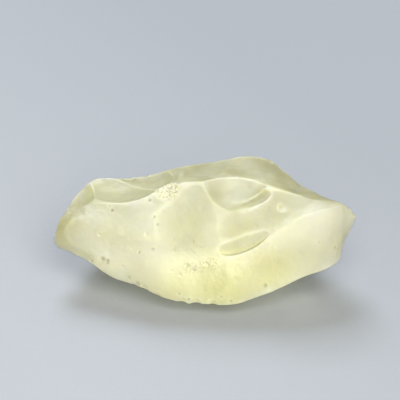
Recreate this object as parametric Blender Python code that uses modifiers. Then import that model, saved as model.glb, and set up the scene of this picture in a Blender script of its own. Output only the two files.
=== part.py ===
"""A loose piece of Libyan desert glass: pale yellow natural glass, flaked all round and worn by sand.

The stone is one solid. A coarse cage of rails, drawn from the left tip to the right tip, gives its big faces
and ridges; flake scars are then scooped out of the smoothed cage, and it rests on a small flat spot.
Sizes are millimetres until the mesh is made, which is in metres with +Z up and +X towards the right tip.
"""

from collections import namedtuple
from math import cos, pi, radians, sin

import bpy
import numpy as np

NAME = "desert_glass"
MM = 0.001

# The rails of the cage, each with one point (x, y, z) at every station from the left tip to the right tip.
# They go round the stone in this order: up its front, over the top, down the back and along the underside.
RAILS = {
    "rim": [
        (-18.6, -2.6, 4.9), (-16.4, -4.1, 4.95), (-13.5, -6.3, 4.3), (-11.2, -7.6, 3.2), (-8.4, -8.6, 2.9),
        (-5.6, -9.5, 2.1), (-2.7, -10.3, 1.7), (0.3, -10.7, 1.7), (3.8, -10.7, 1.65), (7.0, -10.1, 2.15),
        (9.8, -9.1, 3.45), (12.9, -8.3, 4.6), (15.0, -7.7, 5.0), (16.1, -7.3, 5.35), (16.9, -6.7, 5.7),
    ],
    "low_front": [
        (-18.9, -2.5, 5.5), (-16.5, -3.9, 6.1), (-13.5, -5.9, 5.7), (-11.2, -7.0, 5.4), (-8.5, -8.1, 4.8),
        (-5.9, -8.9, 4.2), (-2.8, -9.7, 3.8), (0.4, -10.0, 4.0), (3.8, -9.7, 4.7), (6.6, -8.9, 5.6),
        (9.5, -7.8, 6.9), (12.6, -6.8, 7.9), (14.8, -6.0, 8.4), (16.1, -5.6, 8.3), (16.95, -5.2, 8.1),
    ],
    "main_ridge": [
        (-18.9, -2.2, 6.2), (-16.9, -3.2, 7.5), (-13.5, -5.0, 7.1), (-11.2, -6.0, 7.0), (-8.5, -7.0, 6.5),
        (-5.9, -7.8, 6.2), (-2.8, -8.5, 5.8), (0.4, -8.7, 6.2), (3.8, -7.9, 7.1), (6.5, -7.0, 8.2),
        (9.3, -5.9, 10.0), (12.3, -4.6, 10.9), (14.6, -3.7, 11.2), (16.0, -3.2, 11.2), (17.0, -2.8, 11.1),
    ],
    "panel": [
        (-18.6, -1.4, 7.1), (-16.8, -1.5, 8.4), (-13.5, -2.4, 8.7), (-11.3, -3.0, 8.4), (-8.5, -3.9, 8.6),
        (-5.9, -4.1, 9.0), (-2.8, -4.0, 9.1), (0.4, -4.4, 9.8), (3.6, -4.0, 10.1), (6.5, -3.5, 10.6),
        (9.3, -3.3, 11.2), (12.3, -2.9, 11.1), (14.6, -2.6, 11.3), (16.0, -2.5, 11.3), (17.0, -2.4, 11.2),
    ],
    "top_ridge": [
        (-18.4, -0.4, 7.9), (-16.6, 0.6, 8.5), (-13.5, 0.3, 9.8), (-11.3, -0.3, 9.9), (-8.5, -0.9, 10.9),
        (-5.9, -0.5, 12.0), (-2.8, 0.0, 12.9), (0.4, -0.6, 13.3), (3.5, -0.4, 13.1), (6.5, -0.4, 12.4),
        (9.4, -1.0, 12.3), (12.4, -1.4, 11.4), (14.6, -1.8, 11.3), (15.9, -1.9, 11.3), (17.1, -2.1, 11.15),
    ],
    "top": [
        (-18.0, 0.2, 8.6), (-16.4, 1.8, 8.95), (-13.8, 2.9, 9.75), (-11.5, 2.3, 9.6), (-8.7, 2.0, 10.5),
        (-6.1, 2.5, 11.2), (-3.0, 3.0, 12.1), (0.3, 3.0, 12.4), (3.6, 3.3, 12.7), (6.6, 3.6, 12.3),
        (9.3, 2.8, 11.9), (11.8, 1.2, 11.2), (14.2, -0.3, 11.0), (15.9, -1.2, 11.0), (17.3, -1.8, 10.7),
    ],
    "back_edge": [
        (-17.5, 0.8, 9.0), (-16.0, 3.2, 9.3), (-14.2, 5.9, 10.0), (-11.7, 5.3, 10.0), (-8.8, 5.1, 10.4),
        (-6.3, 5.4, 10.8), (-3.2, 5.9, 11.6), (0.2, 6.5, 11.6), (3.7, 6.8, 12.2), (6.8, 7.4, 11.95),
        (9.2, 6.7, 11.45), (11.0, 3.8, 10.7), (13.9, 1.2, 10.4), (16.1, -0.3, 10.3), (18.2, -1.55, 9.7),
    ],
    "back": [
        (-17.1, 1.9, 6.6), (-16.6, 4.3, 6.9), (-14.3, 6.9, 6.6), (-11.6, 7.6, 6.2), (-8.8, 8.2, 6.0),
        (-6.2, 8.8, 5.8), (-3.2, 9.3, 5.8), (0.2, 9.8, 6.0), (3.7, 10.2, 6.2), (6.9, 10.3, 6.4),
        (9.6, 9.3, 6.5), (11.8, 6.9, 6.6), (14.2, 4.0, 7.2), (16.7, 1.3, 7.9), (19.1, -1.4, 8.5),
    ],
    "under_back": [
        (-16.9, 0.2, 4.7), (-15.4, 2.0, 3.6), (-13.0, 3.4, 2.3), (-10.5, 3.8, 1.4), (-8.0, 3.7, 0.7),
        (-5.6, 3.6, 0.2), (-2.8, 4.0, -0.1), (0.4, 4.6, -0.1), (3.4, 4.3, -0.1), (6.4, 3.6, 0.2),
        (9.2, 3.0, 1.0), (11.9, 2.0, 2.3), (14.2, 0.6, 4.0), (16.4, -1.2, 5.8), (18.2, -2.8, 7.6),
    ],
    "under_front": [
        (-17.3, -1.9, 4.4), (-15.4, -2.4, 3.4), (-12.9, -3.0, 2.3), (-10.4, -3.4, 1.3), (-8.0, -3.8, 0.6),
        (-5.6, -4.2, -0.1), (-2.9, -4.6, -0.1), (0.2, -4.3, -0.1), (3.3, -4.0, 0.1), (6.3, -3.9, 0.6),
        (9.2, -4.0, 1.5), (11.8, -4.2, 2.7), (14.0, -4.4, 3.9), (15.8, -4.5, 5.0), (17.4, -4.7, 6.7),
    ],
}
PLAN_MIDDLE = (-0.10, -0.46, 0.0)  # middle of the drawn stone seen from above, moved onto the origin
CAGE_LEVELS = 4

# How sharp each rail stays in the smoothed stone, from 0 (rounded) to 1 (an edge), station to station.
RAIL_SHARPNESS = {
    "rim": [0.62] * 14,
    "main_ridge": [0.2] + [0.3] * 5 + [0.5] + [0.62] * 6 + [0.4],
    "top_ridge": [0.62] * 14,
    "back_edge": [0.5, 0.62, 0.6] + [0.42] * 5 + [0.5, 0.62, 0.6] + [0.42] * 3,
    "back": [0.36] * 14,
    "under_back": [0.5] * 14,
    "under_front": [0.5] * 14,
}
# The same for the rings round the stone at a station: the fold before the left tip, and the edges of the tips.
FOLD_SHARPNESS = {1: 0.42}
TIP_SHARPNESS = 0.42
TIP_RAILS = {0: ("rim", "low_front", "main_ridge", "panel"),
             14: tuple(RAILS)}

# A flake scar is a shallow bowl cut into the surface. It lies at a point (x, y, z) and faces an azimuth (0 is
# the front, 90 the right) and an elevation. Its length, turned from level by tilt, and its width are those of
# its mouth on a flat face, and soft is how far its edge is worn.
Scar = namedtuple("Scar", "at azimuth elevation length width tilt depth soft")
SCARS = {
    "leaf": Scar((3.85, -0.25, 12.9), 0, 50, 7.1, 7.0, 0, 1.15, 0.04),
    "leaf_wall": Scar((5.75, -1.95, 11.45), -20, 62, 5.2, 1.9, 34, 0.48, 0.03),
    "crescent": Scar((3.75, -6.95, 7.45), 2, 74, 4.3, 1.6, 16, 0.55, 0.03),
    "middle_panel": Scar((-2.9, -3.6, 9.6), -4, 47, 6.0, 7.6, 0, 0.38, 0.10),
    "left_panel": Scar((-12.1, -3.2, 8.35), -20, 44, 8.2, 5.8, -12, 0.22, 0.30),
    "right_panel": Scar((3.5, -4.7, 9.6), 0, 50, 5.0, 3.8, 10, 0.30, 0.10),
    "top_far_left": Scar((-15.3, 2.9, 9.3), -60, 68, 3.9, 5.4, 0, 0.38, 0.08),
    "top_left": Scar((-11.2, 2.5, 9.82), -100, 84, 5.4, 6.4, 0, 0.50, 0.05),
    "top_middle_left": Scar((-6.9, 2.5, 10.9), -135, 68, 4.8, 6.4, 0, 0.48, 0.05),
    "top_middle": Scar((-1.2, 2.6, 12.38), 180, 75, 5.0, 6.4, 0, 0.32, 0.30),
    "top_right": Scar((10.8, 1.9, 11.55), 120, 69, 5.6, 5.4, 0, 0.36, 0.30),
    "back_edge_left": Scar((-10.8, 6.6, 10.2), 180, 40, 6.0, 4.0, 0, 0.40, 0.10),
    "back_edge_chip": Scar((-7.9, 5.5, 10.2), -170, 60, 1.9, 1.5, 0, 0.30, 0.04),
    "back_left": Scar((-9.6, 7.2, 7.6), -168, 24, 11.0, 6.4, 6, 0.75, 0.06),
    "back_middle": Scar((1.4, 8.9, 8.4), 178, 30, 12.0, 6.6, -4, 0.80, 0.06),
    "back_right": Scar((11.4, 5.9, 8.4), 140, 28, 11.0, 6.6, -14, 0.85, 0.06),
    "back_low_left": Scar((-8.6, 6.6, 3.4), -165, -36, 11.0, 6.4, -8, 0.60, 0.06),
    "back_low_middle": Scar((2.4, 7.8, 3.1), 176, -44, 11.0, 6.0, 0, 0.55, 0.06),
    "back_low_right": Scar((11.4, 4.9, 4.4), 142, -34, 10.0, 6.4, 10, 0.60, 0.06),
    "under_left": Scar((-10.8, -5.2, 2.4), -40, -62, 8.0, 3.6, 0, 0.30, 0.06),
    "under_right": Scar((11.4, -4.5, 2.6), 25, -66, 6.5, 2.8, 0, 0.20, 0.06),
    "under_front": Scar((0.8, -7.3, 0.75), 0, -74, 9.0, 4.2, 0, 0.30, 0.06),
    "rough_chip": Scar((-4.75, -0.35, 11.98), -20, 54, 2.8, 2.0, 55, 0.28, 0.04),
    "bubble": Scar((9.35, -3.1, 11.15), 0, 60, 1.0, 1.2, 0, 0.16, 0.03),
    "rim_chip_left": Scar((-8.9, -8.6, 2.7), -10, 20, 1.8, 1.0, -10, 0.20, 0.04),
    "rim_chip_middle": Scar((-1.4, -10.6, 1.9), 0, 10, 1.9, 0.9, 0, 0.20, 0.04),
}

# Gentle swells that keep the big faces from being true planes.
Swell = namedtuple("Swell", "heading length height phase")
SWELLS = (
    Swell((1.0, 0.3, 0.2), 9.0, 0.10, 0.4),
    Swell((0.4, 1.0, 0.5), 7.0, 0.08, 1.7),
    Swell((-0.6, 0.5, 1.0), 6.0, 0.07, 2.9),
    Swell((1.0, -0.7, 0.4), 4.2, 0.04, 0.9),
    Swell((0.3, 0.8, -1.0), 3.4, 0.025, 4.1),
)
SWELL_CORE = (0.6, 0.0, 6.0)  # swells push out from a line along X at this height, this share of x wide
SWELL_FADE = 2.0  # height over which the swells fade out towards the resting face
SWELL_WANDER = 1.3
SWELL_STRETCH = 1.7

TRIANGLE_SHARE = 0.105  # of the carved surface's triangles that the solid keeps
RESTING_SNAP = 0.02  # points this close to the resting plane lie in it

COLOUR = (0.78, 0.76, 0.52, 1.0)
ROUGHNESS = 0.38
GLASS_IOR = 1.46
SEE_THROUGH = 0.6


def clear_scene():
    for old in list(bpy.data.objects):
        bpy.data.objects.remove(old)


def facing(azimuth, elevation):
    azimuth, elevation = radians(azimuth), radians(elevation)
    return np.array([sin(azimuth) * cos(elevation), -cos(azimuth) * cos(elevation), sin(elevation)])


def soft_minimum(a, b, reach):
    """The lower of a and b, rounded where they are within reach of each other."""
    near = np.clip(reach - np.abs(a - b), 0.0, None) / reach
    return np.minimum(a, b) - near * near * reach / 4


def carve(points, scar):
    """Lowers the points above the scar's bowl onto it, along the way the scar faces."""
    outward = facing(scar.azimuth, scar.elevation)
    level = np.cross((0.0, 0.0, 1.0), outward)
    level /= np.linalg.norm(level)
    rising = np.cross(outward, level)
    tilt = radians(scar.tilt)
    along = level * cos(tilt) + rising * sin(tilt)
    across = rising * cos(tilt) - level * sin(tilt)
    offset = points - np.array(scar.at)
    height = offset @ outward
    spread = (2 * (offset @ along) / scar.length) ** 2 + (2 * (offset @ across) / scar.width) ** 2
    bowl = scar.depth * (spread - 1)
    return points + np.outer(soft_minimum(height, bowl, scar.soft) - height, outward)


def swell(points):
    share, _, core_height = SWELL_CORE
    outward = points - points * (share, 0.0, 0.0) - (0.0, 0.0, core_height)
    outward /= np.linalg.norm(outward, axis=1)[:, None]
    lift = np.zeros(len(points))
    for wave in SWELLS:
        heading = np.array(wave.heading) / np.linalg.norm(wave.heading)
        wander = SWELL_WANDER * np.sin(points[:, 0] * SWELL_STRETCH / wave.length + wave.phase)
        lift += wave.height * np.sin(points @ heading * 2 * pi / wave.length + wave.phase + wander)
    fade = np.clip(points[:, 2] / SWELL_FADE, 0.0, 1.0)
    return points + outward * (lift * fade)[:, None]


def weathered(points):
    """The cage's smooth surface, swelled, flaked and laid on its resting plane."""
    points = swell(points)
    for scar in SCARS.values():
        points = carve(points, scar)
    points = points - np.array(PLAN_MIDDLE)
    points[:, 2] = np.where(points[:, 2] < RESTING_SNAP, 0.0, points[:, 2])
    return points


def sharpness(first, second, stations):
    """Of the cage edge between two corners, each numbered rail by rail and station by station."""
    names = list(RAILS)
    rails = (first // stations, second // stations)
    places = (first % stations, second % stations)
    if rails[0] == rails[1]:
        return RAIL_SHARPNESS.get(names[rails[0]], [0.0] * stations)[min(places)]
    place = places[0]
    if place in TIP_RAILS:
        return TIP_SHARPNESS if names[rails[0]] in TIP_RAILS[place] else 0.0
    return FOLD_SHARPNESS.get(place, 0.0)


def make_cage():
    """A closed loft through the rails, with a face over each tip."""
    corners = np.array(list(RAILS.values()))
    rails, stations = corners.shape[:2]

    def corner(rail, station):
        return (rail % rails) * stations + station

    def patch(rail, station):
        after = station + 1
        return (corner(rail, station), corner(rail, after), corner(rail + 1, after), corner(rail + 1, station))

    faces = [patch(rail, station) for rail in range(rails) for station in range(stations - 1)]
    faces.append([corner(rail, 0) for rail in range(rails)])
    faces.append([corner(rail, stations - 1) for rail in reversed(range(rails))])
    mesh = bpy.data.meshes.new(NAME + "_cage")
    mesh.from_pydata(corners.reshape(-1, 3).tolist(), [], faces)
    crease = mesh.attributes.new("crease_edge", "FLOAT", "EDGE")
    for edge in mesh.edges:
        crease.data[edge.index].value = sharpness(*edge.vertices, stations)
    return mesh


def evaluated_mesh(mesh, add_modifier):
    """A new mesh: the given one with the modifier that add_modifier puts on an object of it."""
    holder = bpy.data.objects.new(mesh.name, mesh)
    bpy.context.scene.collection.objects.link(holder)
    add_modifier(holder)
    depsgraph = bpy.context.evaluated_depsgraph_get()
    result = bpy.data.meshes.new_from_object(holder.evaluated_get(depsgraph))
    bpy.data.objects.remove(holder)
    return result


def add_smoothing(holder):
    smoothing = holder.modifiers.new("smoothing", "SUBSURF")
    smoothing.levels = smoothing.render_levels = CAGE_LEVELS


def add_thinning(holder):
    thinning = holder.modifiers.new("thinning", "DECIMATE")
    thinning.ratio = TRIANGLE_SHARE
    thinning.use_collapse_triangulate = True


def move_points(mesh, change):
    points = np.empty(len(mesh.vertices) * 3)
    mesh.vertices.foreach_get("co", points)
    mesh.vertices.foreach_set("co", change(points.reshape(-1, 3)).ravel())
    mesh.update()


def rested(points):
    """Metres, with the underside's flat spot in the plane z = 0."""
    points = points * MM
    points[:, 2] = np.where(points[:, 2] < RESTING_SNAP * MM, 0.0, points[:, 2])
    return points


def glass_material():
    material = bpy.data.materials.new(NAME)
    material.use_nodes = True
    shader = material.node_tree.nodes["Principled BSDF"]
    shader.inputs["Base Color"].default_value = COLOUR
    shader.inputs["Roughness"].default_value = ROUGHNESS
    shader.inputs["Metallic"].default_value = 0.0
    shader.inputs["IOR"].default_value = GLASS_IOR
    shader.inputs["Transmission Weight"].default_value = SEE_THROUGH
    return material


def make_stone():
    surface = evaluated_mesh(make_cage(), add_smoothing)
    move_points(surface, weathered)
    mesh = evaluated_mesh(surface, add_thinning)
    move_points(mesh, rested)
    mesh.name = NAME
    mesh.materials.clear()
    mesh.materials.append(glass_material())
    mesh.shade_smooth()
    stone = bpy.data.objects.new(NAME, mesh)
    group = bpy.data.collections.new("libyan_desert_glass")
    bpy.context.scene.collection.children.link(group)
    group.objects.link(stone)


clear_scene()
make_stone()
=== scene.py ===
"""A loose piece of Libyan desert glass, worn by sand, lying on a pale floor in soft light.

The stone is a smooth surface over a cage of rails, with flake scars cut into it. Its small marks are a rough
chip, a burst bubble, sand pits, nicks in its front rim and a crackled stretch of its lower ridge. It is drawn
in millimetres, with +Z up, +X towards the right tip and its front towards -Y. Its mesh is in metres.
"""

from collections import namedtuple
from math import cos, pi, radians, sin

import bpy
import numpy as np
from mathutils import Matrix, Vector
from mathutils.bvhtree import BVHTree


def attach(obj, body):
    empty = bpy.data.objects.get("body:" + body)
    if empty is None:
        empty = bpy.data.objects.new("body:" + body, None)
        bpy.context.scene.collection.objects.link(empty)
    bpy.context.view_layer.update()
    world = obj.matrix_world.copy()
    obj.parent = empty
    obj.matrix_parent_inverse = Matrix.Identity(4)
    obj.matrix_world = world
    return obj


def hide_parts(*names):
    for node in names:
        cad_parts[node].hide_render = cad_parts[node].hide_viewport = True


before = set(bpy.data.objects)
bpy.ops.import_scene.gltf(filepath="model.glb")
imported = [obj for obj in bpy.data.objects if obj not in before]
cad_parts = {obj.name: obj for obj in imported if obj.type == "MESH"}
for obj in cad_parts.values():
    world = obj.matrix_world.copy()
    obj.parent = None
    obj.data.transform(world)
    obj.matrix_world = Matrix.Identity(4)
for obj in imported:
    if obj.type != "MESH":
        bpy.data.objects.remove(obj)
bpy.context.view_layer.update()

NODE = "desert_glass"
MM = 0.001

# The rails of the cage, each with one point (x, y, z) at every station from the left tip to the right tip.
# They go round the stone in this order: up its front, over the top, down the back and along the underside.
RAILS = {
    "rim": [
        (-18.6, -2.6, 4.9), (-16.4, -4.1, 4.95), (-13.5, -6.3, 4.3), (-11.2, -7.6, 3.2), (-8.4, -8.6, 2.9),
        (-5.6, -9.5, 2.1), (-2.7, -10.3, 1.7), (0.3, -10.7, 1.7), (3.8, -10.7, 1.65), (7.0, -10.1, 2.15),
        (9.8, -9.1, 3.45), (12.9, -8.3, 4.6), (15.0, -7.7, 5.0), (16.1, -7.3, 5.35), (16.9, -6.7, 5.7),
    ],
    "low_front": [
        (-18.9, -2.5, 5.5), (-16.5, -3.9, 6.1), (-13.5, -5.9, 5.7), (-11.2, -7.0, 5.4), (-8.5, -8.1, 4.8),
        (-5.9, -8.9, 4.2), (-2.8, -9.7, 3.8), (0.4, -10.0, 4.0), (3.8, -9.7, 4.7), (6.6, -8.9, 5.6),
        (9.5, -7.8, 6.9), (12.6, -6.8, 7.9), (14.8, -6.0, 8.4), (16.1, -5.6, 8.3), (16.95, -5.2, 8.1),
    ],
    "main_ridge": [
        (-18.9, -2.2, 6.2), (-16.9, -3.2, 7.5), (-13.5, -5.0, 7.1), (-11.2, -6.0, 7.0), (-8.5, -7.0, 6.5),
        (-5.9, -7.8, 6.2), (-2.8, -8.5, 5.8), (0.4, -8.7, 6.2), (3.8, -7.9, 7.1), (6.5, -7.0, 8.2),
        (9.3, -5.9, 10.0), (12.3, -4.6, 10.9), (14.6, -3.7, 11.2), (16.0, -3.2, 11.2), (17.0, -2.8, 11.1),
    ],
    "panel": [
        (-18.6, -1.4, 7.1), (-16.8, -1.5, 8.4), (-13.5, -2.4, 8.7), (-11.3, -3.0, 8.4), (-8.5, -3.9, 8.6),
        (-5.9, -4.1, 9.0), (-2.8, -4.0, 9.1), (0.4, -4.4, 9.8), (3.6, -4.0, 10.1), (6.5, -3.5, 10.6),
        (9.3, -3.3, 11.2), (12.3, -2.9, 11.1), (14.6, -2.6, 11.3), (16.0, -2.5, 11.3), (17.0, -2.4, 11.2),
    ],
    "top_ridge": [
        (-18.4, -0.4, 7.9), (-16.6, 0.6, 8.5), (-13.5, 0.3, 9.8), (-11.3, -0.3, 9.9), (-8.5, -0.9, 10.9),
        (-5.9, -0.5, 12.0), (-2.8, 0.0, 12.9), (0.4, -0.6, 13.3), (3.5, -0.4, 13.1), (6.5, -0.4, 12.4),
        (9.4, -1.0, 12.3), (12.4, -1.4, 11.4), (14.6, -1.8, 11.3), (15.9, -1.9, 11.3), (17.1, -2.1, 11.15),
    ],
    "top": [
        (-18.0, 0.2, 8.6), (-16.4, 1.8, 8.95), (-13.8, 2.9, 9.75), (-11.5, 2.3, 9.6), (-8.7, 2.0, 10.5),
        (-6.1, 2.5, 11.2), (-3.0, 3.0, 12.1), (0.3, 3.0, 12.4), (3.6, 3.3, 12.7), (6.6, 3.6, 12.3),
        (9.3, 2.8, 11.9), (11.8, 1.2, 11.2), (14.2, -0.3, 11.0), (15.9, -1.2, 11.0), (17.3, -1.8, 10.7),
    ],
    "back_edge": [
        (-17.5, 0.8, 9.0), (-16.0, 3.2, 9.3), (-14.2, 5.9, 10.0), (-11.7, 5.3, 10.0), (-8.8, 5.1, 10.4),
        (-6.3, 5.4, 10.8), (-3.2, 5.9, 11.6), (0.2, 6.5, 11.6), (3.7, 6.8, 12.2), (6.8, 7.4, 11.95),
        (9.2, 6.7, 11.45), (11.0, 3.8, 10.7), (13.9, 1.2, 10.4), (16.1, -0.3, 10.3), (18.2, -1.55, 9.7),
    ],
    "back": [
        (-17.1, 1.9, 6.6), (-16.6, 4.3, 6.9), (-14.3, 6.9, 6.6), (-11.6, 7.6, 6.2), (-8.8, 8.2, 6.0),
        (-6.2, 8.8, 5.8), (-3.2, 9.3, 5.8), (0.2, 9.8, 6.0), (3.7, 10.2, 6.2), (6.9, 10.3, 6.4),
        (9.6, 9.3, 6.5), (11.8, 6.9, 6.6), (14.2, 4.0, 7.2), (16.7, 1.3, 7.9), (19.1, -1.4, 8.5),
    ],
    "under_back": [
        (-16.9, 0.2, 4.7), (-15.4, 2.0, 3.6), (-13.0, 3.4, 2.3), (-10.5, 3.8, 1.4), (-8.0, 3.7, 0.7),
        (-5.6, 3.6, 0.2), (-2.8, 4.0, -0.1), (0.4, 4.6, -0.1), (3.4, 4.3, -0.1), (6.4, 3.6, 0.2),
        (9.2, 3.0, 1.0), (11.9, 2.0, 2.3), (14.2, 0.6, 4.0), (16.4, -1.2, 5.8), (18.2, -2.8, 7.6),
    ],
    "under_front": [
        (-17.3, -1.9, 4.4), (-15.4, -2.4, 3.4), (-12.9, -3.0, 2.3), (-10.4, -3.4, 1.3), (-8.0, -3.8, 0.6),
        (-5.6, -4.2, -0.1), (-2.9, -4.6, -0.1), (0.2, -4.3, -0.1), (3.3, -4.0, 0.1), (6.3, -3.9, 0.6),
        (9.2, -4.0, 1.5), (11.8, -4.2, 2.7), (14.0, -4.4, 3.9), (15.8, -4.5, 5.0), (17.4, -4.7, 6.7),
    ],
}
PLAN_MIDDLE = (-0.10, -0.46, 0.0)  # middle of the drawn stone seen from above, moved onto the origin
CAGE_LEVELS = 5

# How sharp each rail stays in the smoothed stone, from 0 (rounded) to 1 (an edge), station to station.
RAIL_SHARPNESS = {
    "rim": [0.62] * 14,
    "main_ridge": [0.2] + [0.3] * 5 + [0.5] + [0.62] * 6 + [0.4],
    "top_ridge": [0.62] * 14,
    "back_edge": [0.5, 0.62, 0.6] + [0.42] * 5 + [0.5, 0.62, 0.6] + [0.42] * 3,
    "back": [0.36] * 14,
    "under_back": [0.5] * 14,
    "under_front": [0.5] * 14,
}
# The same for the rings round the stone at a station: the fold before the left tip, and the tips' edges.
FOLD_SHARPNESS = {1: 0.42}
TIP_SHARPNESS = 0.42
TIP_RAILS = {0: ("rim", "low_front", "main_ridge", "panel"),
             14: tuple(RAILS)}

# A flake scar is a shallow bowl cut into the surface. It lies at a point (x, y, z) and faces an azimuth (0 is
# the front, 90 the right) and an elevation. Its length, turned from level by tilt, and its width are those of
# its mouth on a flat face, and soft is how far its edge is worn.
Scar = namedtuple("Scar", "at azimuth elevation length width tilt depth soft")
SCARS = {
    "leaf": Scar((3.85, -0.25, 12.9), 0, 50, 7.1, 7.0, 0, 1.15, 0.04),
    "leaf_wall": Scar((5.75, -1.95, 11.45), -20, 62, 5.2, 1.9, 34, 0.48, 0.03),
    "crescent": Scar((3.75, -6.95, 7.45), 2, 74, 4.3, 1.6, 16, 0.55, 0.03),
    "middle_panel": Scar((-2.9, -3.6, 9.6), -4, 47, 6.0, 7.6, 0, 0.38, 0.10),
    "left_panel": Scar((-12.1, -3.2, 8.35), -20, 44, 8.2, 5.8, -12, 0.22, 0.30),
    "right_panel": Scar((3.5, -4.7, 9.6), 0, 50, 5.0, 3.8, 10, 0.30, 0.10),
    "top_far_left": Scar((-15.3, 2.9, 9.3), -60, 68, 3.9, 5.4, 0, 0.38, 0.08),
    "top_left": Scar((-11.2, 2.5, 9.82), -100, 84, 5.4, 6.4, 0, 0.50, 0.05),
    "top_middle_left": Scar((-6.9, 2.5, 10.9), -135, 68, 4.8, 6.4, 0, 0.48, 0.05),
    "top_middle": Scar((-1.2, 2.6, 12.38), 180, 75, 5.0, 6.4, 0, 0.32, 0.30),
    "top_right": Scar((10.8, 1.9, 11.55), 120, 69, 5.6, 5.4, 0, 0.36, 0.30),
    "back_edge_left": Scar((-10.8, 6.6, 10.2), 180, 40, 6.0, 4.0, 0, 0.40, 0.10),
    "back_edge_chip": Scar((-7.9, 5.5, 10.2), -170, 60, 1.9, 1.5, 0, 0.30, 0.04),
    "back_left": Scar((-9.6, 7.2, 7.6), -168, 24, 11.0, 6.4, 6, 0.75, 0.06),
    "back_middle": Scar((1.4, 8.9, 8.4), 178, 30, 12.0, 6.6, -4, 0.80, 0.06),
    "back_right": Scar((11.4, 5.9, 8.4), 140, 28, 11.0, 6.6, -14, 0.85, 0.06),
    "back_low_left": Scar((-8.6, 6.6, 3.4), -165, -36, 11.0, 6.4, -8, 0.60, 0.06),
    "back_low_middle": Scar((2.4, 7.8, 3.1), 176, -44, 11.0, 6.0, 0, 0.55, 0.06),
    "back_low_right": Scar((11.4, 4.9, 4.4), 142, -34, 10.0, 6.4, 10, 0.60, 0.06),
    "under_left": Scar((-10.8, -5.2, 2.4), -40, -62, 8.0, 3.6, 0, 0.30, 0.06),
    "under_right": Scar((11.4, -4.5, 2.6), 25, -66, 6.5, 2.8, 0, 0.20, 0.06),
    "under_front": Scar((0.8, -7.3, 0.75), 0, -74, 9.0, 4.2, 0, 0.30, 0.06),
    "rough_chip": Scar((-4.75, -0.35, 11.98), -20, 54, 2.8, 2.0, 55, 0.28, 0.04),
    "bubble": Scar((9.35, -3.1, 11.15), 0, 60, 1.0, 1.2, 0, 0.16, 0.03),
    "rim_chip_left": Scar((-8.9, -8.6, 2.7), -10, 20, 1.8, 1.0, -10, 0.20, 0.04),
    "rim_chip_middle": Scar((-1.4, -10.6, 1.9), 0, 10, 1.9, 0.9, 0, 0.20, 0.04),
}

# Gentle swells that keep the big faces from being true planes.
Swell = namedtuple("Swell", "heading length height phase")
SWELLS = (
    Swell((1.0, 0.3, 0.2), 9.0, 0.10, 0.4),
    Swell((0.4, 1.0, 0.5), 7.0, 0.08, 1.7),
    Swell((-0.6, 0.5, 1.0), 6.0, 0.07, 2.9),
    Swell((1.0, -0.7, 0.4), 4.2, 0.04, 0.9),
    Swell((0.3, 0.8, -1.0), 3.4, 0.025, 4.1),
)
SWELL_FOCUS_SHARE = 0.6  # a swell pushes each point away from one at this share of its x
SWELL_FOCUS_HEIGHT = 6.0  # and at this height
SWELL_FADE = 2.0  # height over which the swells fade out towards the resting face
SWELL_WANDER = 1.3  # how far their crests bend, in radians
SWELL_STRETCH = 1.7  # how often they bend along X

TRIANGLE_SHARE = 0.6  # of the carved surface's triangles, kept where it bends most
RESTING_SNAP = 0.02  # points this close to the resting plane lie in it

# Sand pits, each at its place (x, y) in the picture, in pixels, with how dark the dirt in it is.
Pit = namedtuple("Pit", "pixel size depth dirt")
PITS = (
    Pit((112, 210), 0.45, 0.14, 1.0),
    Pit((109, 206), 0.35, 0.10, 0.4),
    Pit((149.6, 200), 0.50, 0.12, 0.8),
    Pit((154, 216.6), 0.40, 0.12, 0.4),
    Pit((157.6, 224.4), 0.40, 0.12, 0.6),
    Pit((146, 234), 0.45, 0.12, 0.3),
    Pit((153, 249), 0.45, 0.12, 0.7),
    Pit((139, 252), 0.45, 0.12, 0.7),
    Pit((99, 234), 0.40, 0.10, 0.2),
    Pit((193, 242), 0.35, 0.10, 0.4),
    Pit((102.6, 259.4), 0.80, 0.14, 0.9),
    Pit((107, 261.4), 0.70, 0.14, 1.0),
    Pit((92, 261), 0.45, 0.10, 0.6),
    Pit((122, 266.6), 0.40, 0.10, 0.0),
    Pit((129, 277.6), 0.50, 0.12, 0.7),
    Pit((138, 283.6), 0.60, 0.14, 0.8),
    Pit((142, 283), 0.45, 0.12, 0.5),
    Pit((179, 294), 0.40, 0.12, 0.5),
    Pit((188.6, 299.4), 0.40, 0.12, 0.5),
    Pit((221, 297), 0.40, 0.10, 0.0),
    Pit((231, 301), 0.35, 0.10, 0.6),
    Pit((265.4, 285.6), 0.50, 0.10, 0.6),
    Pit((335.6, 247.6), 0.45, 0.10, 0.7),
    Pit((319, 242.4), 0.40, 0.08, 0.2),
    Pit((257, 225.6), 0.35, 0.08, 0.5),
    Pit((265, 186), 0.50, 0.12, 0.8),
    Pit((134, 179), 0.45, 0.12, 0.9),
    Pit((174, 251), 0.40, 0.08, 0.2),
    Pit((171, 271), 0.45, 0.10, 0.2),
    Pit((180, 275), 0.55, 0.12, 0.4),
    Pit((187, 266), 0.75, 0.10, 0.1),
    Pit((193, 270), 0.50, 0.10, 0.3),
    Pit((207, 264), 0.60, 0.10, 0.2),
)

# Nicks in the front rim, each at a point (x, y, z), facing an azimuth and slightly down.
Nick = namedtuple("Nick", "at azimuth size depth")
NICKS = (
    Nick((-8.9, -8.5, 2.95), -19, 1.10, 0.24),
    Nick((-7.6, -8.9, 2.75), -19, 1.30, 0.26),
    Nick((-5.9, -9.5, 2.25), -15, 0.90, 0.16),
    Nick((-2.9, -10.35, 1.85), -10, 1.30, 0.22),
    Nick((-1.2, -10.6, 1.75), -5, 1.50, 0.26),
    Nick((0.9, -10.75, 1.75), 0, 1.20, 0.18),
)
NICK_ELEVATION = -20

# A pit or a nick with its middle (x, y, z) and the way the surface faces there.
Hollow = namedtuple("Hollow", "at outward size depth dirt")

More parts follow.
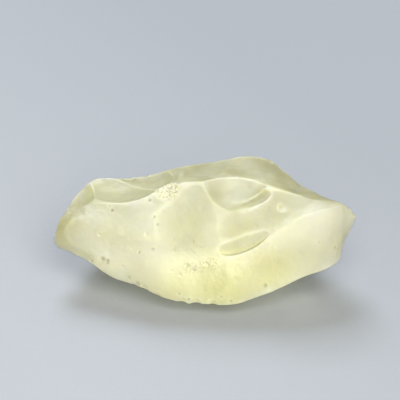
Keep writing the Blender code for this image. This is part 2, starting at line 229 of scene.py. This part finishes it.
# A patch of the surface lies round a point (x, y, z), with how far it reaches and how strong it is.
Patch = namedtuple("Patch", "at reach strength")
# Milky glass, partly; the rest are paler patches of painted light, such as on the low left and the right tip,
# and a painted glint on the bubble.
CLOUDS_AND_PAINTED_LIGHT = (
    Patch((-13.1, -2.5, 8.4), 2.2, 0.4),
    Patch((-10.4, -3.4, 8.1), 2.0, 0.4),
    Patch((-7.2, -3.6, 8.9), 1.6, 0.9),
    Patch((-7.0, -6.6, 6.8), 2.4, 0.6),
    Patch((-11.4, -6.6, 5.2), 3.2, 1.0),
    Patch((-6.2, -8.3, 4.6), 2.4, 0.7),
    Patch((11.5, -7.6, 6.6), 2.6, 0.3),
    Patch((18.0, -2.4, 9.2), 1.6, 1.0),
    Patch((-1.9, -8.4, 6.0), 2.2, 0.6),
    Patch((0.9, -3.3, 10.5), 0.8, 0.7),
    Patch((0.8, -4.6, 9.3), 1.0, 0.9),
    Patch((0.7, -6.0, 8.1), 1.0, 0.9),
    Patch((5.2, -0.3, 12.9), 0.5, 0.9),
    Patch((6.2, -0.5, 12.6), 0.5, 0.9),
    Patch((7.1, -0.8, 12.3), 0.4, 0.9),
    Patch((2.6, -6.4, 8.1), 0.6, 0.6),
    Patch((5.2, -5.8, 8.6), 0.7, 0.6),
    Patch((1.2, -5.6, 8.4), 1.6, 0.6),
    Patch((4.8, -8.0, 6.8), 1.8, 0.9),
    Patch((8.2, -6.9, 8.3), 1.6, 0.9),
    Patch((11.2, -5.6, 9.6), 2.0, 0.9),
    Patch((14.2, -4.4, 10.2), 2.2, 0.9),
    Patch((17.2, -2.8, 10.1), 1.2, 0.6),
    Patch((-8.6, 4.2, 9.9), 0.5, 0.9),
    Patch((-8.0, 3.3, 10.0), 0.5, 0.9),
    Patch((-7.0, 4.1, 10.1), 0.5, 0.9),
    Patch((-13.7, 4.6, 9.6), 0.8, 0.8),
    Patch((9.35, -3.1, 11.15), 0.5, 0.8),
)
# Painted shade: darker, yellower glass on scar walls and in recesses, on faces turned from the light, on the
# top and along the lower front.
PAINTED_SHADES = (
    Patch((-12.0, 2.4, 9.4), 2.8, 0.9),
    Patch((-8.4, 2.2, 10.2), 1.8, 0.5),
    Patch((-17.6, -1.0, 7.0), 2.0, 0.8),
    Patch((-14.6, 3.2, 9.2), 1.6, 0.5),
    Patch((7.4, -0.6, 12.0), 0.7, 0.9),
    Patch((6.6, -1.2, 11.7), 0.7, 1.0),
    Patch((5.8, -1.8, 11.3), 0.7, 1.0),
    Patch((4.8, -2.4, 11.0), 0.7, 1.0),
    Patch((3.8, -2.9, 10.8), 0.6, 0.9),
    Patch((1.3, -1.4, 12.1), 1.2, 0.7),
    Patch((3.9, -6.4, 7.3), 0.9, 0.25),
    Patch((-2.9, -3.4, 9.3), 2.8, 0.38),
    Patch((3.9, -4.6, 9.4), 2.4, 0.38),
    Patch((9.6, -3.4, 10.9), 2.6, 0.32),
    Patch((-11.4, -3.0, 8.0), 2.6, 0.16),
    Patch((2.0, -9.8, 3.4), 3.4, 0.85),
    Patch((8.0, -8.8, 5.2), 3.2, 0.55),
    Patch((-3.6, -9.6, 3.2), 2.4, 0.45),
)
# The chip with a crumbled floor, and the crackled ridge.
CHIPS = (
    Patch((-4.75, -0.35, 11.98), 1.3, 1.0),
    Patch((-1.9, -8.4, 5.8), 0.8, 0.6),
    Patch((-0.7, -8.4, 6.0), 0.7, 0.5),
    Patch((0.8, -8.4, 6.4), 0.8, 0.6),
)
# Where the painted highlight on the edges is taken away.
UNHIGHLIGHTED_EDGES = (
    Patch((1.3, -1.4, 12.1), 1.9, 0.9),
    Patch((3.3, -3.3, 10.7), 1.4, 0.8),
    Patch((0.9, -4.6, 9.3), 2.4, 0.7),
    Patch((4.4, -5.6, 8.6), 1.4, 0.6),
    Patch((-14.6, 1.2, 9.3), 2.4, 1.0),
)
CHIP_RIM = (0.2, 0.4)  # of a patch's strength, where the crumbled floor begins and where it is whole

TOP_FACING = (-0.30, 0.05)  # a normal's y where the painted shade of the upper faces begins, and where it is full
TOP_RISING = (0.25, 0.55)  # the same for its z
TOP_EDGE_LOSS = 0.60  # share of the painted edge highlight that edges lack on the upper faces
DIRT_REACH = 0.46  # share of a pit's size
EDGE_SPREAD = 6  # rounds of smoothing against which an edge is measured
EDGE_LIFT = (0.003, 0.014)  # height over the smoothed surface where the painted edge highlight begins, and where it is full

FLOOR_SIDE = 3.0  # metres
FLOOR_GAP = 0.00005  # metres, so that the floor and the flat spot aren't one plane
FLOOR_COLOURS = ((0.262, 0.278, 0.328, 1.0), (0.215, 0.231, 0.276, 1.0))  # near left, and far right: a painted light falloff from lighter to darker
FLOOR_GRAIN = 0.0006  # metres
FLOOR_GRAIN_HEIGHT = 0.00003  # metres
FLOOR_FADE_HEADING = (1.6, 1.0, 0.0)
FLOOR_FADE = (-0.05, 0.06)  # metres along the heading over which one colour becomes the other
FLOOR_ROUGHNESS = 0.9

# The camera looks at the stone from the front and above.
CAMERA_AIM = (0.10, 0.46, 5.0)
CAMERA_ELEVATION = 35
CAMERA_DISTANCE = 300
FRAME_WIDTH = 50.5  # of what the picture shows at the stone
PICTURE_SIDE = 400  # pixels
SENSOR_WIDTH = 36.0
CAMERA_SHIFT = (-0.0138, 0.0838)
CAMERA_CLIP = 0.01  # metres

# Soft square lights that face the stone, in metres and watts, and the even light of the room.
Light = namedtuple("Light", "azimuth elevation distance size power colour")
LIGHTS = {
    "key": Light(192, 44, 1.0, 0.42, 12.5, (0.88, 0.94, 1.0)),
    "fill": Light(17, 47, 0.4, 0.40, 2.65, (1.0, 0.975, 0.82)),
}
ROOM_COLOUR = (0.98, 0.95, 0.76, 1.0)
ROOM_STRENGTH = 0.50

# The glass.
BODY_COLOUR = (0.97, 0.96, 0.88, 1.0)
# Painted shade: the olive of the faces that look up and back.
PAINTED_TOP_SHADE_COLOUR = (0.40, 0.38, 0.18, 1.0)
# Milky glass, and painted light where faces are made to look more lit.
CLOUD_AND_PAINTED_LIGHT_COLOUR = (0.99, 0.99, 0.93, 1.0)
# Painted highlight along the edges.
EDGE_HIGHLIGHT_COLOUR = (1.0, 1.0, 0.86, 1.0)
# Painted shade in the darker patches.
PAINTED_SHADE_COLOUR = (0.62, 0.60, 0.32, 1.0)
DIRT_COLOUR = (0.07, 0.05, 0.03, 1.0)
CHIP_COLOURS = ((0.58, 0.54, 0.34, 1.0), (0.97, 0.96, 0.82, 1.0))
ROUGHNESS = (0.34, 0.48)  # lowest and highest
TOP_ROUGHNESS = 0.65
CHIP_ROUGHNESS = 0.8
GLASS_IOR = 1.46
SEE_THROUGH = (0.82, 0.69, 0.60)  # share of light let in by clear glass, a cloud patch (milky glass and painted light), and a chip
EDGE_SEE_THROUGH = 0.68
DIRT_SEE_THROUGH = 0.35
ABSORBED = (0.95, 0.92, 0.50, 1.0)
ABSORPTION = 52.0  # per metre
SCATTER_DEPTH = 0.0025  # metres
SCATTER_RADII = (1.0, 0.9, 0.5)  # of red, green and blue light, as shares of the depth
TINT_SIZE = 0.004  # metres, of the faint patches in the colour
WAVE_SIZE = 0.0016  # metres, of the soft unevenness
GRAIN_SIZE = 0.00030  # metres, of the frosting
WAVE_HEIGHT = 0.00024  # metres
GRAIN_HEIGHT = 0.000012  # metres
CHIP_GRAIN = 0.00025  # metres
CHIP_HEIGHT = 0.00008  # metres
NOISE_DETAIL = {"tint": 3, "wave": 2, "grain": 2, "crumbs": 1}

# The values of a noise from which its effect begins and at which it is full, and the effects' ranges.
BROAD_NOISE = (0.3, 0.7)
PATCHY_NOISE = (0.35, 0.6)
CRUMB_NOISE = (0.40, 0.54)
TINT_EFFECT = (0.55, 1.0)
EDGE_EFFECT = (0.1, 0.9)
DIRT_EFFECT = (0.5, 1.0)

# Where a colour mixing node has its two colours and its result.
MIX_INPUTS = (6, 7)
MIX_OUTPUT = 2


def facing(azimuth, elevation):
    azimuth, elevation = radians(azimuth), radians(elevation)
    return np.array([sin(azimuth) * cos(elevation), -cos(azimuth) * cos(elevation), sin(elevation)])


def soft_minimum(a, b, reach):
    """The lower of a and b, rounded where they are within reach of each other."""
    near = np.clip(reach - np.abs(a - b), 0.0, None) / reach
    return np.minimum(a, b) - near * near * reach / 4


def carve(points, scar):
    """Lowers the points above the scar's bowl onto it, along the way the scar faces."""
    outward = facing(scar.azimuth, scar.elevation)
    level = np.cross((0.0, 0.0, 1.0), outward)
    level /= np.linalg.norm(level)
    rising = np.cross(outward, level)
    tilt = radians(scar.tilt)
    along = level * cos(tilt) + rising * sin(tilt)
    across = rising * cos(tilt) - level * sin(tilt)
    offset = points - np.array(scar.at)
    height = offset @ outward
    spread = (2 * (offset @ along) / scar.length) ** 2 + (2 * (offset @ across) / scar.width) ** 2
    bowl = scar.depth * (spread - 1)
    return points + np.outer(soft_minimum(height, bowl, scar.soft) - height, outward)


def swell(points):
    outward = points - points * (SWELL_FOCUS_SHARE, 0.0, 0.0) - (0.0, 0.0, SWELL_FOCUS_HEIGHT)
    outward /= np.linalg.norm(outward, axis=1)[:, None]
    lift = np.zeros(len(points))
    for wave in SWELLS:
        heading = np.array(wave.heading) / np.linalg.norm(wave.heading)
        wander = SWELL_WANDER * np.sin(points[:, 0] * SWELL_STRETCH / wave.length + wave.phase)
        lift += wave.height * np.sin(points @ heading * 2 * pi / wave.length + wave.phase + wander)
    fade = np.clip(points[:, 2] / SWELL_FADE, 0.0, 1.0)
    return points + outward * (lift * fade)[:, None]


def flaked(points):
    """The cage's smooth surface with its swells and flake scars."""
    points = swell(points)
    for scar in SCARS.values():
        points = carve(points, scar)
    return points


def sight_line(pixel):
    """From where the camera stands through a place in the picture, as a start and a heading."""
    outward = facing(0, CAMERA_ELEVATION)
    level = np.array([1.0, 0.0, 0.0])
    rising = np.cross(outward, level)
    across = (pixel[0] / PICTURE_SIDE - 0.5 + CAMERA_SHIFT[0]) * FRAME_WIDTH
    up = (0.5 - pixel[1] / PICTURE_SIDE + CAMERA_SHIFT[1]) * FRAME_WIDTH
    stand = outward * CAMERA_DISTANCE
    return np.array(CAMERA_AIM) + np.array(PLAN_MIDDLE) + stand, level * across + rising * up - stand


def find_hollows(surface):
    """The nicks, and the pits where the camera sees them on the flaked surface."""
    hollows = []
    for nick in NICKS:
        hollows.append(Hollow(nick.at, facing(nick.azimuth, NICK_ELEVATION), nick.size, nick.depth, 0.0))
    faces = [tuple(face.vertices) for face in surface.polygons]
    tree = BVHTree.FromPolygons(read_vectors(surface.vertices, "co").tolist(), faces)
    for pit in PITS:
        at, outward, _, _ = tree.ray_cast(*sight_line(pit.pixel))
        hollows.append(Hollow(at, outward, pit.size, pit.depth, pit.dirt))
    return hollows


def pitted(points, hollows):
    """The points with each hollow sunk into them."""
    for hollow in hollows:
        offset = points - np.array(hollow.at)
        inside = np.clip(1 - (2 * np.linalg.norm(offset, axis=1) / hollow.size) ** 2, 0.0, None)
        points = points - np.outer(hollow.depth * inside, hollow.outward)
    return points


def laid_down(points):
    """In metres, over the origin, with the flat spot in the resting plane."""
    points = points - np.array(PLAN_MIDDLE)
    points[:, 2] = np.where(points[:, 2] < RESTING_SNAP, 0.0, points[:, 2])
    return points * MM


def sharpness(first, second, stations):
    """Of the cage edge between two corners, each numbered rail by rail and station by station."""
    names = list(RAILS)
    rails = (first // stations, second // stations)
    places = (first % stations, second % stations)
    if rails[0] == rails[1]:
        return RAIL_SHARPNESS.get(names[rails[0]], [0.0] * stations)[min(places)]
    place = places[0]
    if place in TIP_RAILS:
        return TIP_SHARPNESS if names[rails[0]] in TIP_RAILS[place] else 0.0
    return FOLD_SHARPNESS.get(place, 0.0)


def make_cage():
    """A closed loft through the rails, with a face over each tip."""
    corners = np.array(list(RAILS.values()))
    rails, stations = corners.shape[:2]

    def corner(rail, station):
        return (rail % rails) * stations + station

    def strip_face(rail, station):
        places = ((rail, station), (rail, station + 1), (rail + 1, station + 1), (rail + 1, station))
        return [corner(*place) for place in places]

    faces = [strip_face(rail, station) for rail in range(rails) for station in range(stations - 1)]
    faces.append([corner(rail, 0) for rail in range(rails)])
    faces.append([corner(rail, stations - 1) for rail in reversed(range(rails))])
    mesh = bpy.data.meshes.new("cage")
    mesh.from_pydata(corners.reshape(-1, 3).tolist(), [], faces)
    crease = mesh.attributes.new("crease_edge", "FLOAT", "EDGE")
    for edge in mesh.edges:
        crease.data[edge.index].value = sharpness(*edge.vertices, stations)
    return mesh


def evaluated_mesh(mesh, add_modifier):
    """A new mesh: the given one with the modifier that add_modifier puts on an object of it."""
    holder = bpy.data.objects.new(mesh.name, mesh)
    bpy.context.scene.collection.objects.link(holder)
    add_modifier(holder)
    depsgraph = bpy.context.evaluated_depsgraph_get()
    result = bpy.data.meshes.new_from_object(holder.evaluated_get(depsgraph))
    bpy.data.objects.remove(holder)
    return result


def add_smoothing(holder):
    smoothing = holder.modifiers.new("smoothing", "SUBSURF")
    smoothing.levels = smoothing.render_levels = CAGE_LEVELS


def add_thinning(holder):
    thinning = holder.modifiers.new("thinning", "DECIMATE")
    thinning.ratio = TRIANGLE_SHARE
    thinning.use_collapse_triangulate = True


def read_vectors(items, name):
    """The vector of that name of each of a mesh's items, as the rows of an array."""
    values = np.empty(len(items) * 3)
    items.foreach_get(name, values)
    return values.reshape(-1, 3)


def move_points(mesh, change):
    mesh.vertices.foreach_set("co", change(read_vectors(mesh.vertices, "co")).ravel())
    mesh.update()


def ramp(values, start, end):
    """0 at start and below, 1 at end and above."""
    return np.clip((values - start) / (end - start), 0.0, 1.0)


def neighbour_means(values, edges, counts):
    """At each vertex, the mean of the values at the vertices that share an edge with it."""
    first, second = edges.T
    columns = []
    for column in values.T:
        total = np.bincount(first, column[second], len(values))
        total += np.bincount(second, column[first], len(values))
        columns.append(total / counts)
    return np.array(columns).T


def edge_share(points, normals, edges):
    """How far each vertex stands out from the smoothed surface, 0 to 1."""
    counts = np.bincount(edges.ravel(), minlength=len(points))
    smoothed = points
    for _ in range(EDGE_SPREAD):
        smoothed = neighbour_means(smoothed, edges, counts)
    lift = np.sum((points - smoothed) * normals, axis=1) / MM
    return ramp(lift, *EDGE_LIFT)


def nearness(points, at, reach):
    """1 at the point (x, y, z), falling to 0 about twice reach away from it."""
    distance = np.linalg.norm(points / MM + np.array(PLAN_MIDDLE) - np.array(at), axis=1)
    return np.exp(-((distance / reach) ** 2))


def patch_share(points, patches):
    """How much of each point the patches take together, 0 to 1."""
    left = np.ones(len(points))
    for patch in patches:
        left *= 1 - patch.strength * nearness(points, patch.at, patch.reach)
    return 1 - left


def chip_share(points):
    shares = []
    for chip in CHIPS:
        shares.append(chip.strength * ramp(nearness(points, chip.at, chip.reach), *CHIP_RIM))
    return np.max(shares, axis=0)


def dirt_share(points, hollows):
    shares = []
    for hollow in hollows:
        shares.append(hollow.dirt * nearness(points, hollow.at, DIRT_REACH * hollow.size))
    return np.max(shares, axis=0)


def top_share(normals):
    """How far each vertex belongs to the faces that look up and back, which are painted in shade."""
    return ramp(normals[:, 1], *TOP_FACING) * ramp(normals[:, 2], *TOP_RISING)


def mark_surface(mesh, hollows):
    """Writes into vertex attributes where the glass is milky or painted lighter, where it has painted shade,
    where its edges get a painted highlight, where it is chipped or stained, and where it faces up and back,
    which is painted darker.
    """
    points = read_vectors(mesh.vertices, "co")
    normals = read_vectors(mesh.vertex_normals, "vector")
    edges = np.empty(len(mesh.edges) * 2, dtype=np.int32)
    mesh.edges.foreach_get("vertices", edges)
    top = top_share(normals)
    pale = (1 - patch_share(points, UNHIGHLIGHTED_EDGES)) * (1 - TOP_EDGE_LOSS * top)
    shares = {
        "cloud_and_painted_light": patch_share(points, CLOUDS_AND_PAINTED_LIGHT),
        "shade": patch_share(points, PAINTED_SHADES),
        "edge": edge_share(points, normals, edges.reshape(-1, 2)) * pale,
        "chip": chip_share(points),
        "dirt": dirt_share(points, hollows),
        "top": top,
    }
    for name, share in shares.items():
        mesh.attributes.new(name, "FLOAT", "POINT").data.foreach_set("value", share)


class NodeMaker:
    """Adds nodes to a material's tree and links them as they are made."""

    def __init__(self, material):
        self.nodes = material.node_tree.nodes
        self.links = material.node_tree.links
        self.place = self.nodes.new("ShaderNodeTexCoord").outputs["Object"]

    def attribute(self, name):
        node = self.nodes.new("ShaderNodeAttribute")
        node.attribute_name = name
        return node.outputs["Fac"]

    def noise(self, size, detail):
        node = self.nodes.new("ShaderNodeTexNoise")
        node.inputs["Scale"].default_value = 1 / size
        node.inputs["Detail"].default_value = detail
        self.links.new(self.place, node.inputs["Vector"])
        return node.outputs["Fac"]

    def fill(self, socket, value):
        if isinstance(value, bpy.types.NodeSocket):
            self.links.new(value, socket)
        else:
            socket.default_value = value

    def mix(self, share, first, second):
        node = self.nodes.new("ShaderNodeMix")
        node.data_type = "RGBA"
        self.fill(node.inputs["Factor"], share)
        for place, colour in zip(MIX_INPUTS, (first, second)):
            self.fill(node.inputs[place], colour)
        return node.outputs[MIX_OUTPUT]

    def scaled(self, value, low, high, start=0.0, end=1.0):
        """Low where the value is at start, high where it is at end."""
        node = self.nodes.new("ShaderNodeMapRange")
        self.fill(node.inputs["Value"], value)
        node.inputs["From Min"].default_value = start
        node.inputs["From Max"].default_value = end
        self.fill(node.inputs["To Min"], low)
        self.fill(node.inputs["To Max"], high)
        return node.outputs["Result"]

    def bump(self, height, distance, normal=None):
        node = self.nodes.new("ShaderNodeBump")
        node.inputs["Strength"].default_value = 1.0
        node.inputs["Distance"].default_value = distance
        self.links.new(height, node.inputs["Height"])
        if normal is not None:
            self.links.new(normal, node.inputs["Normal"])
        return node.outputs["Normal"]


def glass_colour(maker, tint, wave, crumbs, dirt):
    uneven = maker.scaled(tint, *TINT_EFFECT, *BROAD_NOISE)
    # Milky clouds, and patches of painted light.
    colour = maker.mix(maker.scaled(maker.attribute("cloud_and_painted_light"), 0.0, uneven), BODY_COLOUR, CLOUD_AND_PAINTED_LIGHT_COLOUR)
    # Painted shade on the faces that look up and back.
    colour = maker.mix(maker.scaled(maker.attribute("top"), 0.0, uneven), colour, PAINTED_TOP_SHADE_COLOUR)
    # Painted shade in patches: scar walls, recesses, faces turned from the light and the lower front.
    colour = maker.mix(maker.attribute("shade"), colour, PAINTED_SHADE_COLOUR)
    # Painted highlight along the convex edges, broken up by noise.
    broken = maker.scaled(wave, *EDGE_EFFECT, *PATCHY_NOISE)
    colour = maker.mix(maker.scaled(maker.attribute("edge"), 0.0, broken), colour, EDGE_HIGHLIGHT_COLOUR)
    colour = maker.mix(dirt, colour, DIRT_COLOUR)
    crumb_colour = maker.mix(maker.scaled(crumbs, 0.0, 1.0, *CRUMB_NOISE), *CHIP_COLOURS)
    return maker.mix(maker.attribute("chip"), colour, crumb_colour)


def glass_roughness(maker, tint):
    front = maker.scaled(tint, *ROUGHNESS, *BROAD_NOISE)
    smooth = maker.scaled(maker.attribute("top"), front, TOP_ROUGHNESS)
    return maker.scaled(maker.attribute("chip"), smooth, CHIP_ROUGHNESS)


def glass_relief(maker, wave, grain, crumbs):
    """The normal of the soft unevenness, the frosting over it and the crumbs in the chips."""
    frosted = maker.bump(grain, GRAIN_HEIGHT, maker.bump(wave, WAVE_HEIGHT))
    return maker.bump(maker.scaled(maker.attribute("chip"), 0.0, crumbs), CHIP_HEIGHT, frosted)


def glass_clearness(maker, dirt):
    clear, patch_clearness, chipped = SEE_THROUGH
    share = maker.scaled(maker.attribute("cloud_and_painted_light"), clear, patch_clearness)
    share = maker.scaled(maker.attribute("edge"), share, EDGE_SEE_THROUGH)
    share = maker.scaled(dirt, share, DIRT_SEE_THROUGH)
    return maker.scaled(maker.attribute("chip"), share, chipped)


def glass_material():
    material = bpy.data.materials.new("worn_glass")
    material.use_nodes = True
    nodes, links = material.node_tree.nodes, material.node_tree.links
    shader = nodes["Principled BSDF"]
    maker = NodeMaker(material)
    tint = maker.noise(TINT_SIZE, NOISE_DETAIL["tint"])
    wave = maker.noise(WAVE_SIZE, NOISE_DETAIL["wave"])
    grain = maker.noise(GRAIN_SIZE, NOISE_DETAIL["grain"])
    crumbs = maker.noise(CHIP_GRAIN, NOISE_DETAIL["crumbs"])
    dirt = maker.scaled(maker.attribute("dirt"), 0.0, maker.scaled(grain, *DIRT_EFFECT, *PATCHY_NOISE))
    links.new(glass_colour(maker, tint, wave, crumbs, dirt), shader.inputs["Base Color"])
    links.new(glass_roughness(maker, tint), shader.inputs["Roughness"])
    links.new(glass_relief(maker, wave, grain, crumbs), shader.inputs["Normal"])
    links.new(glass_clearness(maker, dirt), shader.inputs["Transmission Weight"])
    shader.inputs["IOR"].default_value = GLASS_IOR
    shader.inputs["Subsurface Weight"].default_value = 1.0
    shader.inputs["Subsurface Scale"].default_value = SCATTER_DEPTH
    shader.inputs["Subsurface Radius"].default_value = SCATTER_RADII
    volume = nodes.new("ShaderNodeVolumeAbsorption")
    volume.inputs["Color"].default_value = ABSORBED
    volume.inputs["Density"].default_value = ABSORPTION
    links.new(volume.outputs["Volume"], nodes["Material Output"].inputs["Volume"])
    return material


def make_stone():
    surface = evaluated_mesh(make_cage(), add_smoothing)
    move_points(surface, flaked)
    hollows = find_hollows(surface)
    move_points(surface, lambda points: laid_down(pitted(points, hollows)))
    mesh = evaluated_mesh(surface, add_thinning)
    mesh.name = "stone"
    mesh.materials.clear()
    mesh.materials.append(glass_material())
    mesh.shade_smooth()
    mark_surface(mesh, hollows)
    stone = bpy.data.objects.new("stone", mesh)
    bpy.context.scene.collection.objects.link(stone)
    return stone


def floor_material():
    material = bpy.data.materials.new("floor")
    material.use_nodes = True
    nodes, links = material.node_tree.nodes, material.node_tree.links
    shader = nodes["Principled BSDF"]
    maker = NodeMaker(material)
    # Painted light falloff: the floor is lighter at the near left and darker at the far right.
    away = nodes.new("ShaderNodeVectorMath")
    away.operation = "DOT_PRODUCT"
    away.inputs[1].default_value = FLOOR_FADE_HEADING
    links.new(maker.place, away.inputs[0])
    share = maker.scaled(away.outputs["Value"], 0.0, 1.0, *FLOOR_FADE)
    links.new(maker.mix(share, *FLOOR_COLOURS), shader.inputs["Base Color"])
    grain = maker.noise(FLOOR_GRAIN, NOISE_DETAIL["grain"])
    links.new(maker.bump(grain, FLOOR_GRAIN_HEIGHT), shader.inputs["Normal"])
    shader.inputs["Roughness"].default_value = FLOOR_ROUGHNESS
    return material


def make_floor():
    half = FLOOR_SIDE / 2
    corners = [(-half, -half, 0), (half, -half, 0), (half, half, 0), (-half, half, 0)]
    mesh = bpy.data.meshes.new("floor")
    mesh.from_pydata(corners, [], [range(len(corners))])
    mesh.materials.append(floor_material())
    floor = bpy.data.objects.new("floor", mesh)
    floor.location.z = -FLOOR_GAP
    bpy.context.scene.collection.objects.link(floor)


def add_light(name, light):
    lamp_data = bpy.data.lights.new(name, "AREA")
    lamp_data.size = light.size
    lamp_data.energy = light.power
    lamp_data.color = light.colour
    lamp = bpy.data.objects.new(name, lamp_data)
    outward = Vector(facing(light.azimuth, light.elevation))
    lamp.location = outward * light.distance
    lamp.rotation_euler = outward.to_track_quat("Z", "Y").to_euler()
    bpy.context.scene.collection.objects.link(lamp)


def light_scene():
    world = bpy.data.worlds.new("room")
    world.use_nodes = True
    background = world.node_tree.nodes["Background"]
    background.inputs["Color"].default_value = ROOM_COLOUR
    background.inputs["Strength"].default_value = ROOM_STRENGTH
    bpy.context.scene.world = world
    for name, light in LIGHTS.items():
        add_light(name, light)


def make_camera():
    outward = Vector(facing(0, CAMERA_ELEVATION))
    camera = bpy.data.cameras.new("camera")
    camera.sensor_width = SENSOR_WIDTH
    camera.lens = SENSOR_WIDTH * CAMERA_DISTANCE / FRAME_WIDTH
    camera.shift_x, camera.shift_y = CAMERA_SHIFT
    camera.clip_start = CAMERA_CLIP
    holder = bpy.data.objects.new("camera", camera)
    holder.location = (Vector(CAMERA_AIM) + outward * CAMERA_DISTANCE) * MM
    holder.rotation_euler = outward.to_track_quat("Z", "Y").to_euler()
    bpy.context.scene.collection.objects.link(holder)
    bpy.context.scene.camera = holder


stone = make_stone()
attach(stone, "root")
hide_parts(NODE)
make_floor()
light_scene()
make_camera()
bpy.context.scene.view_settings.view_transform = "Standard"
bpy.context.scene.cycles.use_denoising = True
